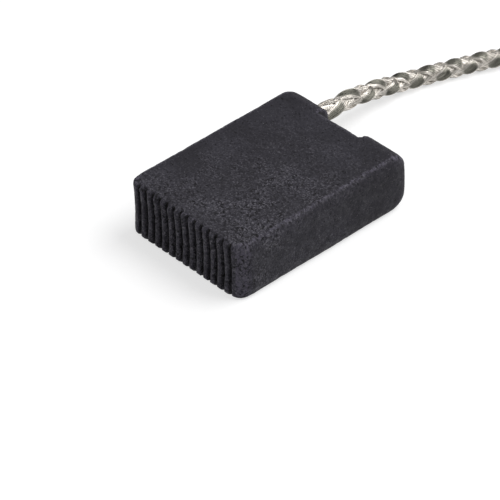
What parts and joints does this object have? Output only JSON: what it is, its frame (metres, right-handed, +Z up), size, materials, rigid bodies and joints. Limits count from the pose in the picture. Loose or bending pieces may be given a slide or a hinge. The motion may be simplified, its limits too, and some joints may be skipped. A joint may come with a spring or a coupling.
{
  "type": "carbon brush",
  "caption": "Commutator brush: a rounded carbon block with a grooved concave contact face, a rear spring seat and a braided lead that ends in a ring terminal.",
  "frame": {"origin": "under the middle of the carbon block, on the surface that its wide face lies on", "axes": "+X across the brush's width, +Y along its length from the grooved contact face toward the rear face and the lead, +Z up through its thickness"},
  "size_m": [0.0209, 0.0683, 0.0063],
  "materials": {
    "carbon": "matte pressed carbon-graphite, fine dusty grain, scuffed edges",
    "tamped_powder": "dull tamped copper powder",
    "tinned_braid": "bright tin on fine stranded copper wires",
    "tinned_sheet": "satin tin on stamped copper sheet"
  },
  "bodies": {
    "root": {"carbon_block": "carbon", "tamped_plug": "tamped_powder", "braid": "tinned_braid", "ring_terminal": "tinned_sheet"}
  },
  "joints": []
}
